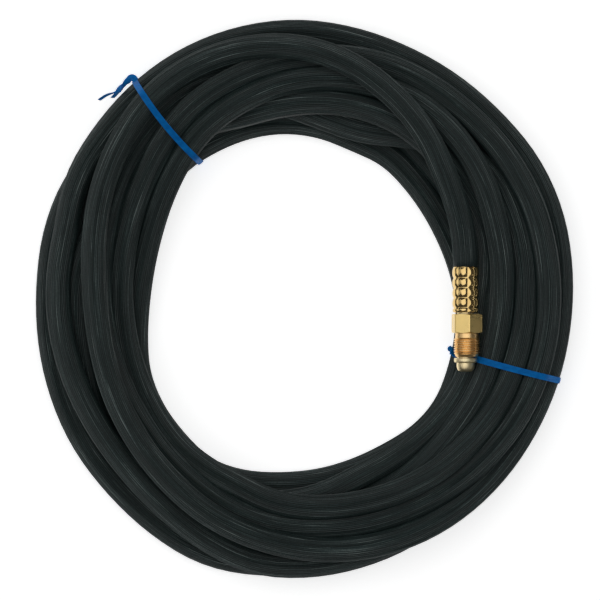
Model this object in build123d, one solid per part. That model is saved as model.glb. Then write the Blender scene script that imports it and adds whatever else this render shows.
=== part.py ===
from build123d import *
import math
import os
import numpy as np

# TIG torch power cable and gas hose: about 25 ft (7.7 m) of ribbed rubber hose
# wound into a flat coil of nine turns, with a crimped brass fitting at each
# end and two twist ties round the bundle.
# Millimetres, +Z up. Origin: centre of the coil's footprint, on the surface
# that the coil rests on.

# ---------------------------------------------------------------- dimensions
HOSE_D = 14.9            # outer diameter of the rubber cover
COVER_ID = 12.6          # bore of the rubber cover
BRAID_OD = 12.5          # textile reinforcement
BRAID_ID = 11.9
LINER_OD = 11.8          # inner rubber tube
LINER_ID = 8.8
CABLE_D = 6.0            # bare copper rope inside the tube, gas flows round it

FERRULE_D = 16.3         # crimped brass shell at each end
FERRULE_L = 27.5
FERRULE_WALL = 1.1
CRIMP_D = 13.9           # cover squeezed inside the shell
FERRULE_END = 2.5        # end wall of the shell

NECK_D = 10.2            # machine-end nipple where the nut turns
COLLAR_D = 13.8
NOSE_D = 11.4
GAS_BORE = 5.0

NUT_AF = 17.0            # machine-end nut, hexagon across flats
NUT_HEX_L = 11.5
THREAD_D = 15.875        # 5/8-18 UNF, major diameter
THREAD_L = 8.8
NUT_RELIEF_D = 14.1
NUT_BORE_D = 12.2        # the nut is loose on the nipple
NUT_SAG = 0.8            # and hangs to one side (+X) of the nipple's axis

T_NUT_AF = 14.3          # torch-end nut, across flats (9/16 in)
T_NUT_L = 15.0
T_THREAD_MINOR = 9.0     # 3/8-24 UNF female, about the minor diameter

TIE_W = 3.8              # ribbon of the twist ties
TIE_T = 0.9

# machine-end fitting: its axis is level and points to -Y
MX, MY, MZ = 97.37, 19.33, 39.10    # mouth of the ferrule, where the hose enters
# torch-end fitting, tucked into the bottom layer of the coil
TX, TY, TZ = 44.44, 107.42, 8.45
T_DIR = 157.5                   # heading of its axis, degrees from +X

# winding centre of the coil
WX, WY = -0.83, -1.87

TAIL_ANGLE = 42.0        # where the free tail meets the bundle, degrees
# Route of the hose: control points of one smooth quadratic curve, from the
# machine end, counter-clockwise, nine turns, to the torch end.
ROUTE = [
    (97.37, 17.33, 39.10), (97.37, 31.13, 39.10), (93.46, 53.27, 42.15), (84.76, 76.04, 45.87),
    (73.31, 100.92, 48.45), (53.95, 123.76, 48.95), (28.73, 142.45, 48.14), (-2.40, 153.14, 46.94),
    (-35.47, 152.60, 45.99), (-67.18, 141.96, 45.39), (-93.87, 122.31, 45.15), (-111.89, 94.84, 45.29),
    (-122.42, 65.64, 45.80), (-126.53, 36.63, 46.62), (-126.94, 9.34, 47.31), (-125.01, -16.85, 47.65),
    (-120.06, -42.59, 47.94), (-110.94, -67.66, 48.01), (-97.25, -91.31, 47.92), (-79.14, -112.97, 47.23),
    (-56.30, -131.77, 45.38), (-28.75, -144.60, 42.38), (1.68, -151.86, 38.52), (33.77, -151.43, 34.82),
    (65.26, -142.96, 31.15), (94.23, -127.62, 26.92), (117.66, -104.26, 23.38), (135.31, -76.75, 21.03),
    (148.00, -46.86, 19.32), (154.75, -14.89, 17.78), (155.52, 17.94, 16.52), (150.11, 50.84, 15.63),
    (136.44, 81.64, 15.09), (115.20, 107.59, 14.91), (90.07, 129.60, 15.05), (61.03, 146.43, 15.34),
    (29.18, 157.93, 15.79), (-4.88, 162.70, 16.37), (-39.18, 158.23, 17.36), (-71.33, 145.77, 18.79),
    (-98.72, 125.41, 20.34), (-121.17, 100.60, 22.21), (-138.06, 72.20, 24.44), (-145.62, 40.69, 26.96),
    (-150.41, 9.49, 29.62), (-147.52, -21.60, 31.54), (-138.61, -51.25, 31.98), (-124.58, -78.26, 30.73),
    (-106.67, -102.92, 28.51), (-85.30, -125.47, 26.44), (-60.06, -145.99, 24.67), (-29.51, -160.67, 23.21),
    (4.26, -162.08, 22.02), (37.27, -155.09, 20.22), (66.68, -141.71, 16.38), (92.05, -121.51, 12.74),
    (114.48, -99.59, 9.95), (129.90, -72.05, 8.59), (139.25, -41.72, 8.72), (143.92, -11.85, 7.99),
    (141.12, 18.19, 7.56), (132.80, 46.88, 7.45), (120.55, 74.21, 7.47), (103.16, 98.42, 7.47),
    (81.96, 120.43, 7.46), (53.99, 135.99, 7.48), (24.96, 146.68, 7.47), (-5.85, 150.94, 7.47),
    (-39.01, 146.98, 7.45), (-68.52, 136.55, 7.81), (-94.81, 116.65, 8.86), (-117.75, 95.74, 8.26),
    (-139.12, 70.67, 7.70), (-151.31, 40.33, 7.46), (-155.60, 7.90, 7.46), (-154.82, -24.56, 7.47),
    (-147.70, -56.51, 7.46), (-134.02, -86.52, 7.46), (-114.11, -113.02, 7.46), (-90.11, -136.47, 7.47),
    (-60.84, -154.79, 7.46), (-27.16, -160.64, 7.47), (6.85, -158.76, 7.49), (38.45, -147.67, 7.45),
    (64.08, -128.23, 7.49), (84.86, -109.07, 7.46), (105.03, -88.52, 7.64), (118.03, -63.25, 8.29),
    (125.80, -36.06, 8.82), (129.16, -9.19, 8.10), (126.15, 17.89, 7.60), (118.31, 43.32, 7.44),
    (107.07, 67.75, 7.55), (91.27, 89.94, 7.32), (71.27, 110.09, 8.80), (47.40, 123.40, 11.80),
    (22.91, 133.79, 14.74), (-1.57, 139.99, 16.76), (-38.00, 136.26, 17.55), (-67.40, 128.54, 19.89),
    (-90.88, 108.50, 22.98), (-108.05, 83.95, 27.18), (-118.18, 57.56, 31.45), (-123.09, 30.28, 32.82),
    (-124.48, 4.23, 32.89), (-121.60, -21.45, 33.32), (-114.27, -45.82, 34.14), (-103.31, -68.91, 34.80),
    (-88.99, -90.44, 35.20), (-70.46, -109.65, 35.29), (-48.01, -125.91, 33.80), (-21.72, -136.77, 31.15),
    (7.06, -139.09, 29.78), (36.07, -136.24, 29.69), (64.11, -127.50, 30.16), (90.31, -112.85, 31.07),
    (112.90, -92.72, 32.28), (131.52, -67.99, 32.73), (143.23, -39.13, 31.88), (148.51, -8.36, 30.50),
    (147.18, 22.97, 29.33), (139.99, 53.78, 28.48), (125.54, 82.09, 27.98), (105.19, 106.48, 27.82),
    (80.90, 127.09, 28.00), (52.23, 141.52, 28.53), (20.78, 147.42, 29.39), (-10.94, 145.18, 30.67),
    (-39.68, 135.12, 32.17), (-65.42, 119.79, 32.48), (-84.36, 97.88, 32.02), (-96.86, 73.15, 30.84),
    (-105.26, 49.29, 28.80), (-110.08, 25.56, 27.04), (-111.52, 2.08, 25.89), (-109.22, -20.83, 25.15),
    (-103.55, -43.26, 24.42), (-94.31, -64.76, 24.09), (-80.63, -84.58, 25.02), (-61.89, -100.35, 27.95),
    (-41.08, -112.51, 32.44), (-17.93, -123.67, 36.06), (8.12, -126.74, 37.37), (34.29, -123.63, 37.81),
    (60.04, -115.87, 38.28), (83.87, -102.24, 38.56), (103.78, -82.98, 37.66), (119.84, -60.07, 35.42),
    (129.51, -33.70, 32.47), (133.95, -5.97, 29.55), (132.58, 22.42, 26.93), (126.22, 50.17, 24.67),
    (112.68, 76.09, 22.76), (89.98, 93.81, 21.20), (60.65, 99.05, 21.28), (34.94, 101.21, 21.95),
    (12.08, 109.38, 20.55), (-12.25, 118.30, 16.05), (-37.69, 123.07, 12.20), (-65.17, 116.78, 10.01),
    (-89.82, 102.79, 8.49), (-109.32, 81.65, 7.71), (-129.00, 58.16, 7.54), (-138.26, 30.25, 7.42),
    (-134.17, 0.55, 7.55), (-131.64, -25.41, 7.51), (-121.48, -52.90, 7.47), (-108.58, -77.09, 7.47),
    (-88.81, -95.17, 7.60), (-69.71, -114.55, 7.41), (-44.30, -128.21, 7.50), (-14.94, -130.95, 9.13),
    (11.03, -128.55, 12.88), (35.72, -121.95, 18.54), (59.49, -110.78, 23.63), (79.04, -93.46, 27.80),
    (94.96, -74.27, 30.28), (108.41, -52.53, 30.91), (115.44, -28.66, 31.89), (119.74, -3.90, 33.54),
    (120.33, 21.73, 35.44), (115.82, 47.43, 37.15), (107.88, 73.98, 37.28), (92.41, 98.35, 36.15),
    (70.91, 118.37, 34.93), (43.91, 129.83, 34.35), (15.12, 134.10, 35.37), (-13.33, 130.90, 36.48),
    (-39.33, 119.74, 36.34), (-60.84, 104.15, 33.87), (-76.04, 83.38, 29.33), (-86.40, 61.55, 24.86),
    (-93.21, 40.24, 20.85), (-97.93, 19.75, 17.33), (-100.88, -0.80, 14.28), (-102.33, -22.26, 11.70),
    (-101.08, -45.20, 9.81), (-92.48, -67.21, 8.67), (-77.94, -86.08, 7.94), (-60.15, -103.10, 7.54),
    (-37.58, -112.08, 7.45), (-12.96, -112.94, 7.47), (9.99, -110.51, 7.46), (31.84, -104.00, 7.47),
    (51.86, -94.42, 7.50), (71.15, -82.49, 7.50), (85.93, -65.50, 7.38), (94.04, -44.50, 8.26),
    (98.58, -23.25, 8.91), (99.36, -2.12, 8.09), (95.17, 18.36, 7.61), (87.88, 37.42, 7.45),
    (78.38, 55.38, 7.47), (66.11, 72.20, 7.46), (51.02, 87.53, 7.46), (30.99, 96.25, 7.58),
    (10.30, 104.59, 7.46), (-12.50, 107.83, 7.43), (-35.51, 105.10, 7.69), (-57.67, 96.13, 8.28),
    (-77.30, 82.85, 8.95), (-91.53, 63.36, 9.76), (-107.88, 45.05, 11.14), (-117.75, 22.78, 13.11),
    (-122.03, -2.31, 15.55), (-121.16, -27.51, 18.29), (-115.06, -52.94, 20.60), (-106.32, -79.07, 22.00),
    (-89.49, -101.75, 21.95), (-66.95, -115.99, 21.14), (-36.87, -121.96, 20.44), (-11.79, -123.78, 21.99),
    (11.44, -118.82, 24.06), (34.34, -107.05, 23.67), (54.42, -96.17, 22.33), (72.85, -82.34, 21.49),
    (88.64, -65.49, 21.29), (99.78, -45.61, 21.36), (106.41, -22.98, 21.44), (109.77, -0.86, 22.01),
    (112.77, 23.28, 22.90), (108.49, 48.37, 24.63), (96.06, 70.64, 28.53), (80.10, 89.57, 33.48),
    (59.74, 106.43, 35.10), (35.81, 116.22, 33.76), (10.29, 119.80, 32.32), (-15.38, 117.23, 29.41),
    (-38.67, 110.70, 23.14), (-63.33, 105.47, 18.87), (-86.72, 90.32, 17.21), (-103.15, 70.29, 16.49),
    (-121.84, 47.95, 17.88), (-135.50, 24.36, 21.48), (-138.83, -3.95, 21.64), (-135.22, -32.95, 20.43),
    (-128.89, -61.36, 17.82), (-116.40, -88.73, 15.06), (-95.74, -111.13, 12.83), (-71.88, -130.43, 11.01),
    (-43.43, -143.38, 9.47), (-12.83, -145.53, 8.20), (17.63, -141.28, 7.48), (44.79, -127.03, 7.45),
    (62.42, -105.81, 7.48), (83.27, -91.31, 7.62), (99.09, -71.19, 8.06), (108.23, -47.29, 8.74),
    (113.36, -23.29, 8.54), (113.90, 0.95, 7.79), (108.74, 24.27, 7.48), (100.29, 46.20, 7.45),
    (89.15, 66.30, 7.52), (72.72, 86.31, 7.39), (56.45, 102.45, 8.45), (44.44, 107.42, 8.45),
]

R = HOSE_D / 2


# ------------------------------------------------------------- hose geometry
def curve(ctrl, per_span=6):
    """Uniform quadratic B-spline, clamped at its ends."""
    c = np.array(ctrl, float)
    n = len(c)
    knots = np.concatenate([[0.0, 0.0], np.arange(0, n - 1), [n - 2.0, n - 2.0]])
    out = []
    for u in np.linspace(0, n - 2, (n - 2) * per_span + 1):
        k = min(int(u), n - 3) + 2
        d = [c[k - 2 + j].copy() for j in range(3)]
        for r in (1, 2):
            for j in range(2, r - 1, -1):
                i = k - 2 + j
                w = (u - knots[i]) / (knots[i + 3 - r] - knots[i])
                d[j] = (1 - w) * d[j - 1] + w * d[j]
        out.append(d[2])
    return np.array(out)


LINE = curve(ROUTE)
HOSE_LENGTH = float(np.linalg.norm(np.diff(LINE, axis=0), axis=1).sum())
POLAR = np.degrees(np.unwrap(np.arctan2(LINE[:, 1] - WY, LINE[:, 0] - WX)))
RADIUS = np.hypot(LINE[:, 0] - WX, LINE[:, 1] - WY)


def strands(angle, free_tail):
    """(radius, height) of each strand that crosses the half plane at angle.

    free_tail=True leaves out the first stretch, which is a tube of its own."""
    found = []
    turn = 0
    while True:
        a = angle % 360.0 + 360.0 * turn
        if a > POLAR[-1]:
            break
        if a >= POLAR[0] and not (free_tail and a < 180.0):
            found.append((float(np.interp(a, POLAR, RADIUS)), float(np.interp(a, POLAR, LINE[:, 2]))))
        turn += 1
    return found


FRACTIONS = [0.0, 0.035, 0.11, 0.20, 0.30, 0.40, 0.50, 0.60, 0.70, 0.80, 0.89, 0.965, 1.0]


def section(angle, free_tail):
    """Outline of the bundle at one angle: flat below, the strands' tops above."""
    st = strands(angle, free_tail)
    lo = min(r for r, z in st) - R
    hi = max(r for r, z in st) + R
    tops = []
    for f in FRACTIONS:
        rr = min(max(lo + f * (hi - lo), lo + 0.05), hi - 0.05)
        h = 0.0
        for r, z in st:
            d = abs(rr - r)
            if d < R:
                h = max(h, z + math.sqrt(R * R - d * d))
        if h == 0.0:                       # a gap between strands: bridge it low
            near = sorted(st, key=lambda s: abs(s[0] - rr))[:2]
            h = min(z for r, z in near)
        tops.append([rr, h])
    tops[0][0], tops[-1][0] = lo, hi
    a = angle % 360.0
    t = math.radians(a)
    if free_tail:
        # room for the machine-end fitting and whatever is screwed onto it
        for p in tops:
            x = WX + p[0] * math.cos(t)
            y = WY + p[0] * math.sin(t)
            keep = 0.0
            if -50.0 < y < MY + 3.0:
                keep = 12.6 if y < 0 else 10.4
                d = abs(x - MX - NUT_SAG)
                if d < keep:
                    p[1] = min(p[1], MZ - math.sqrt(keep * keep - d * d))
        # room for the tail of the hose above the bundle
        if 8.0 < a < 60.0:
            rt = float(np.interp(a, POLAR, RADIUS))
            zt = float(np.interp(a, POLAR, LINE[:, 2]))
            keep = R + 1.3
            for p in tops:
                d = abs(p[0] - rt)
                if d < keep:
                    p[1] = min(p[1], zt - math.sqrt(keep * keep - d * d))
    return [(lo, 0.0)] + [tuple(p) for p in tops] + [(hi, 0.0)]


def section_face(angle, free_tail):
    t = math.radians(angle)
    pts = [Vector(WX + r * math.cos(t), WY + r * math.sin(t), z) for r, z in section(angle, free_tail)]
    return Face(Wire.make_polygon(pts, close=True))


def box_at(cx, cy, heading, s0, s1, half_w, z0, z1):
    """Box from s0 to s1 along a heading from (cx, cy)."""
    pl = Plane(origin=(cx, cy, 0), x_dir=(math.cos(math.radians(heading)), math.sin(math.radians(heading)), 0), z_dir=(0, 0, 1))
    b = Box(s1 - s0, 2 * half_w, z1 - z0, align=(Align.MIN, Align.CENTER, Align.MIN))
    return pl * (Pos(s0, 0, z0) * b)


# --------------------------------------------------------------------- ties
# each tie: the inner and the outer point of its plane on the ground, from the
# winding centre
TIES = {
    "rear_tie": ((-58.7, 84.1), (-104.1, 135.5)),
    "front_tie": ((88.9, -27.8), (154.3, -47.2)),
}


def bundle_at_plane(p, q, angles, free_tail):
    """Outline of the lofted bundle where the vertical plane through p and q
    cuts it, as (distance from p towards q, height)."""
    p, q = np.array(p), np.array(q)
    u = (q - p) / np.linalg.norm(q - p)
    m = 0.5 * (p + q) - np.array([WX, WY])
    a0 = math.degrees(math.atan2(m[1], m[0]))
    while a0 < angles[0]:
        a0 += 360.0
    k = max(i for i in range(len(angles) - 1) if angles[i] <= a0)
    pts = []
    for j in range(max(k - 1, 0), min(k + 2, len(angles) - 1)):
        ends = []
        for a in (angles[j], angles[j + 1]):
            t = math.radians(a)
            ends.append(np.array([(WX + r * math.cos(t), WY + r * math.sin(t), z) for r, z in section(a, free_tail)]))
        for f in np.linspace(0, 1, 21):
            for v in (1 - f) * ends[0] + f * ends[1]:
                x = v[:2] - p
                if abs(x[0] * u[1] - x[1] * u[0]) < TIE_W / 2 + 0.6:
                    pts.append((float(x @ u), float(v[2])))
    return pts


def hull(points):
    pts = sorted(set((round(a, 3), round(b, 3)) for a, b in points))

    def half(seq):
        out = []
        for c in seq:
            while len(out) > 1 and (out[-1][0] - out[-2][0]) * (c[1] - out[-2][1]) - (out[-1][1] - out[-2][1]) * (c[0] - out[-2][0]) <= 0:
                out.pop()
            out.append(c)
        return out

    a = half(pts)
    b = half(pts[::-1])
    return a[:-1] + b[:-1]


def grow(poly, d):
    """Convex polygon moved out by d, with its sharp corners kept."""
    n = len(poly)
    out = []
    for i in range(n):
        p0, p1, p2 = np.array(poly[i - 1]), np.array(poly[i]), np.array(poly[(i + 1) % n])
        e1 = (p1 - p0) / np.linalg.norm(p1 - p0)
        e2 = (p2 - p1) / np.linalg.norm(p2 - p1)
        n1 = np.array([e1[1], -e1[0]])
        n2 = np.array([e2[1], -e2[0]])
        b = n1 + n2
        out.append(tuple(p1 + b * d / (1 + float(n1 @ n2))))
    return out


def thin_out(poly, tol=1.2):
    """Drop hull corners that hardly change the outline."""
    poly = list(poly)
    while len(poly) > 6:
        best, bi = None, None
        for i in range(len(poly)):
            p0, p1, p2 = np.array(poly[i - 1]), np.array(poly[i]), np.array(poly[(i + 1) % len(poly)])
            e = (p2 - p0) / np.linalg.norm(p2 - p0)
            h = abs((p1 - p0)[0] * e[1] - (p1 - p0)[1] * e[0])
            if best is None or h < best:
                best, bi = h, i
        if best > tol * 0.25:
            break
        poly.pop(bi)
    return poly


def flat_band(poly_in, poly_out, plane, width):
    ring = make_face(Polyline(*poly_out, close=True)) - make_face(Polyline(*poly_in, close=True))
    return plane * extrude(ring, amount=width / 2, both=True)


# ------------------------------------------------------------------- fittings
def lathe(profile):
    """Solid of revolution about local Z from (radius, z) points."""
    pts = [(r, 0, z) for r, z in profile]
    return revolve(Face(Wire.make_polygon([Vector(*p) for p in pts], close=True)), axis=Axis.Z)


def ferrule():
    r = FERRULE_D / 2
    b = CRIMP_D / 2 + 0.05
    neck = NECK_D / 2
    L = FERRULE_L
    prof = [(b, 0.4), (b + 0.4, 0.0), (r - 0.5, 0.0), (r, 0.6), (r, 2.0), (r - 0.25, 2.4), (r - 0.25, 4.6),
            (r, 5.0), (r, 6.6), (r - 0.45, 7.2), (r - 0.45, 8.8), (r, 9.4), (r, 13.8), (r - 0.25, 14.2), (r - 0.25, 17.0),
            (r, 17.4), (r, 22.8), (r - 0.45, 23.4), (r - 0.45, 25.0), (r + 0.15, 25.7), (r + 0.15, 26.8), (r - 0.4, L),
            (neck, L), (neck, L - FERRULE_END), (b, L - FERRULE_END)]
    return lathe(prof)


def hex_prism(af, z0, z1, phase):
    pl = Plane(origin=(0, 0, z0))
    return pl * extrude(RegularPolygon(radius=af / 2, side_count=6, major_radius=False, rotation=phase), amount=z1 - z0)


def nipple_tail(L):
    """Barbed tail inside the hose up to the end wall of the ferrule, as a
    profile from its inner tip: outer side only."""
    r = LINER_ID / 2 - 0.05
    out = [(r - 0.35, 3.0), (r, 3.6)]
    z = 3.6
    while z + 3.4 < L - FERRULE_END - 3.0:
        out += [(r, z + 2.2), (r - 0.45, z + 2.4), (r, z + 3.4)]
        z += 3.4
    out += [(r, L - FERRULE_END - 1.6), (NECK_D / 2 + 0.9, L - FERRULE_END - 1.6), (NECK_D / 2 + 0.9, L - FERRULE_END - 0.02), (NECK_D / 2 - 0.02, L - FERRULE_END - 0.02)]
    return out


def machine_nipple():
    L = FERRULE_L
    n0 = L + 0.9            # hexagon starts
    collar0 = n0 + NUT_HEX_L + 0.6 + 3.3 + THREAD_L + 2.0 + 0.4
    outer = nipple_tail(L)
    outer += [(NECK_D / 2 - 0.02, collar0), (COLLAR_D / 2 - 0.3, collar0), (COLLAR_D / 2, collar0 + 0.3), (COLLAR_D / 2, collar0 + 2.2),
              (COLLAR_D / 2 - 0.4, collar0 + 2.7), (NOSE_D / 2 - 0.3, collar0 + 2.9), (NOSE_D / 2 - 0.3, collar0 + 5.0), (NOSE_D / 2 - 0.65, collar0 + 6.6),
              (NOSE_D / 2 - 1.4, collar0 + 7.7), (NOSE_D / 2 - 2.3, collar0 + 8.2), (GAS_BORE / 2 + 0.2, collar0 + 8.3)]
    cup = (CABLE_D / 2 + 0.55, L - FERRULE_END)
    inner = [(GAS_BORE / 2, collar0 + 7.6), (GAS_BORE / 2, L - FERRULE_END + 1.5), (cup[0], L - FERRULE_END + 0.8), (cup[0], 3.0)]
    return lathe(outer + inner), collar0


def machine_nut():
    z0 = FERRULE_L + 0.9
    z1 = z0 + NUT_HEX_L
    body = hex_prism(NUT_AF, z0, z1, HEX_PHASE)
    rc = NUT_AF / math.sqrt(3)
    cone = lathe([(0, z0), (rc - 1.1, z0), (rc + 0.05, z0 + 0.75), (rc + 0.05, z1 - 0.75), (rc - 1.1, z1), (0, z1)])
    body = body & cone
    t0 = z1 + 3.7
    rt = THREAD_D / 2
    barrel = lathe([(0, z1 - 0.5), (NUT_RELIEF_D / 2, z1 - 0.5), (NUT_RELIEF_D / 2, t0 - 0.6), (rt, t0), (rt, t0 + THREAD_L),
                    (rt - 1.3, t0 + THREAD_L + 1.9), (0, t0 + THREAD_L + 1.9)])
    body = body + barrel
    body = body - Pos(0, 0, z0 - 1) * Cylinder(NUT_BORE_D / 2, 60, align=(Align.CENTER, Align.CENTER, Align.MIN))
    return body, t0


def torch_nipple():
    L = FERRULE_L
    neck = 3.3
    c0 = L + 4.6
    outer = nipple_tail(L)
    outer += [(NECK_D / 2 - 0.02, L + 0.6), (neck, L + 0.6), (neck, c0), (4.1, c0), (4.1, c0 + 1.6), (2.6, c0 + 3.6), (2.1, c0 + 3.9)]
    cup = (CABLE_D / 2 + 0.55, L - FERRULE_END)
    inner = [(1.6, c0 + 3.5), (1.6, L - FERRULE_END + 1.5), (cup[0], L - FERRULE_END + 0.8), (cup[0], 3.0)]
    return lathe(outer + inner), c0


def torch_nut(c0):
    z0 = c0 - 2.9
    z1 = z0 + T_NUT_L
    body = hex_prism(T_NUT_AF, z0, z1, 0)
    rc = T_NUT_AF / math.sqrt(3)
    body = body & lathe([(0, z0), (rc - 1.0, z0), (rc + 0.05, z0 + 0.7), (rc + 0.05, z1 - 0.7), (rc - 1.0, z1), (0, z1)])
    cut = lathe([(0, z0 - 1), (3.7, z0 - 1), (3.7, c0 - 0.5), (T_THREAD_MINOR / 2, c0 - 0.5), (T_THREAD_MINOR / 2, z1 - 0.6), (T_THREAD_MINOR / 2 + 0.7, z1 + 0.1),
                 (T_THREAD_MINOR / 2 + 0.7, z1 + 1), (0, z1 + 1)])
    return body - cut


def crimp_sleeve():
    """Copper sleeve that holds the copper rope in the nipple's cup, with two
    flats that let the gas past."""
    ro = CABLE_D / 2 + 0.5
    s = Pos(0, 0, 8.0) * Cylinder(ro, FERRULE_L - FERRULE_END - 8.5, align=(Align.CENTER, Align.CENTER, Align.MIN))
    s = s - Pos(0, 0, 7.0) * Cylinder(CABLE_D / 2 + 0.02, 40, align=(Align.CENTER, Align.CENTER, Align.MIN))
    for sx in (-1, 1):
        s = s - Pos(sx * (ro - 0.2 + 2), 0, 6) * Box(4, 20, 40, align=(Align.CENTER, Align.CENTER, Align.MIN))
    return s


def tube_in_shell(od, idia, z1):
    """Straight end of one hose layer inside the ferrule, local z 0 to z1."""
    s = Cylinder(od / 2, z1, align=(Align.CENTER, Align.CENTER, Align.MIN))
    if idia:
        s = s - Pos(0, 0, -1) * Cylinder(idia / 2, z1 + 2, align=(Align.CENTER, Align.CENTER, Align.MIN))
    return s


HEX_PHASE = 18.9
M_PLANE = Plane(origin=(MX, MY, MZ), x_dir=(1, 0, 0), z_dir=(0, -1, 0))
T_PLANE = Plane(origin=(TX, TY, TZ), x_dir=(0, 0, 1), z_dir=(math.cos(math.radians(T_DIR)), math.sin(math.radians(T_DIR)), 0))

parts = {}

# ------------------------------------------------------------- coil of hose
full = [TAIL_ANGLE] + [50.0 + 10.0 * i for i in range(29)]                 # 42 to 330
low = [330.0, 336.0, 342.0, 348.0, 354.0, 360.0, 366.0, 372.0, 378.0, 384.0, 390.0, 396.0, TAIL_ANGLE + 360.0]
upper_ring = Solid.make_loft([section_face(a, False).outer_wire() for a in full], ruled=True)
lower_ring = Solid.make_loft([section_face(a, True).outer_wire() for a in low], ruled=True)
coil = upper_ring.fuse(lower_ring)
if isinstance(coil, (list, ShapeList)):
    coil = coil[0]

# pocket for the torch-end fitting, open downwards
pocket = box_at(TX, TY, T_DIR, 0.0, 62.0, 9.3, -1.0, 17.6)
coil = coil - pocket

# grooves under the ties
tie_planes = {}
for name, (p, q) in TIES.items():
    p, q = (WX + p[0], WY + p[1]), (WX + q[0], WY + q[1])
    head = math.degrees(math.atan2(q[1] - p[1], q[0] - p[0]))
    coil = coil - box_at(p[0], p[1], head, -60.0, 150.0, TIE_W / 2 + 0.6, -1.0, 1.35)
    tie_planes[name] = (p, q, head)
parts["hose_coil"] = coil

# -------------------------------------------------- free tail at machine end
t_end = math.radians(TAIL_ANGLE)
TAIL_POINTS = [(97.37, 19.33, 39.10), (97.37, 31.13, 39.10), (93.46, 53.27, 42.15), (84.76, 76.04, 45.87), (73.31, 100.92, 48.45)]
runs = [math.dist(TAIL_POINTS[i], TAIL_POINTS[i + 1]) for i in range(len(TAIL_POINTS) - 1)]
radii = []
for i in range(1, len(TAIL_POINTS) - 1):
    a = Vector(*TAIL_POINTS[i]) - Vector(*TAIL_POINTS[i - 1])
    b = Vector(*TAIL_POINTS[i + 1]) - Vector(*TAIL_POINTS[i])
    turn = a.get_angle(b)
    radii.append(0.45 * min(runs[i - 1], runs[i]) / math.tan(math.radians(turn / 2)))
print("tail runs", [round(r, 1) for r in runs], "radii", [round(r, 1) for r in radii])
tail_path = FilletPolyline(*TAIL_POINTS, radius=radii)
tail_length = tail_path.length


def tail_tube(od, idia):
    prof = Plane(origin=TAIL_POINTS[0], z_dir=(0, 1, 0)) * Circle(od / 2)
    s = sweep(prof, path=tail_path)
    want = math.pi * od * od / 4 * tail_length
    print("tail solid", od, "volume", round(s.volume), "expected", round(want))
    if idia:
        s = s - sweep(Plane(origin=TAIL_POINTS[0], z_dir=(0, 1, 0)) * Circle(idia / 2), path=tail_path)
    # trimmed flush with the face of the bundle that it runs into
    n = (-math.sin(t_end), math.cos(t_end))
    cutter = Plane(origin=(WX + 115 * math.cos(t_end), WY + 115 * math.sin(t_end), 36.3), z_dir=(n[0], n[1], 0)) * Box(80, 80, 80, align=(Align.CENTER, Align.CENTER, Align.MIN))
    return s - cutter


IN_SHELL = FERRULE_L - FERRULE_END - 1.7      # how far the hose goes into the shell


def layer(od, idia, crimped=None):
    tail = tail_tube(od, idia)
    inside = M_PLANE * tube_in_shell(crimped or od, idia, IN_SHELL)
    return tail + inside


parts["hose_tail"] = layer(HOSE_D, COVER_ID, CRIMP_D)
parts["tail_braid"] = layer(BRAID_OD, BRAID_ID)
parts["tail_inner_tube"] = layer(LINER_OD, LINER_ID)
parts["tail_copper_rope"] = tail_tube(CABLE_D, None) + M_PLANE * tube_in_shell(CABLE_D, None, FERRULE_L - FERRULE_END - 0.6)

# ------------------------------------------------------------- machine end
nip, collar0 = machine_nipple()
nut, thread0 = machine_nut()
parts["machine_ferrule"] = M_PLANE * ferrule()
parts["machine_nipple"] = M_PLANE * nip
parts["machine_swivel_nut"] = Pos(NUT_SAG, 0, 0) * (M_PLANE * nut)
parts["machine_crimp_sleeve"] = M_PLANE * crimp_sleeve()

# --------------------------------------------------------------- torch end
tnip, c0 = torch_nipple()
parts["torch_ferrule"] = T_PLANE * ferrule()
parts["torch_nipple"] = T_PLANE * tnip
parts["torch_swivel_nut"] = T_PLANE * torch_nut(c0)
parts["torch_crimp_sleeve"] = T_PLANE * crimp_sleeve()
parts["torch_hose_end"] = T_PLANE * tube_in_shell(CRIMP_D, COVER_ID, IN_SHELL)
parts["torch_braid_end"] = T_PLANE * tube_in_shell(BRAID_OD, BRAID_ID, IN_SHELL)
parts["torch_inner_tube_end"] = T_PLANE * tube_in_shell(LINER_OD, LINER_ID, IN_SHELL)
parts["torch_copper_rope_end"] = T_PLANE * tube_in_shell(CABLE_D, None, FERRULE_L - FERRULE_END - 0.6)

# --------------------------------------------------------------------- ties
for name, (p, q, head) in tie_planes.items():
    pts = bundle_at_plane(p, q, low if name == "front_tie" else full, name == "front_tie")
    base = thin_out(hull(pts))
    inner = grow(base, 0.35)
    floor_in, floor_out = 1.2, 1.2 - TIE_T
    lift = lambda poly, z: [(a, max(b, z)) for a, b in poly]
    ring_in = lift(inner, floor_in)
    ring_out = lift(grow(inner, TIE_T), floor_out)
    k = (MX - p[0]) / math.cos(math.radians(head))
    print(name, "clear of the fitting's axis by", round(min(math.dist((k, MZ), (a + (c2 - a) * f, b + (d2 - b) * f)) for (a, b), (c2, d2) in zip(ring_out, ring_out[1:] + ring_out[:1]) for f in np.linspace(0, 1, 40)), 2))
    wire_in = lift(grow(inner, TIE_T / 2 - 0.2), floor_in - TIE_T / 2 + 0.2)
    wire_out = lift(grow(inner, TIE_T / 2 + 0.2), floor_in - TIE_T / 2 - 0.2)
    c, s = math.cos(math.radians(head)), math.sin(math.radians(head))
    pl = Plane(origin=(p[0], p[1], 0), x_dir=(c, s, 0), z_dir=(s, -c, 0))
    band = flat_band(ring_in, ring_out, pl, TIE_W)
    wire = flat_band(wire_in, wire_out, pl, 0.5)
    hole = flat_band(wire_in, wire_out, pl, 0.5)
    parts[name + "_ribbon"] = band - hole
    parts[name + "_wire"] = wire

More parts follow.
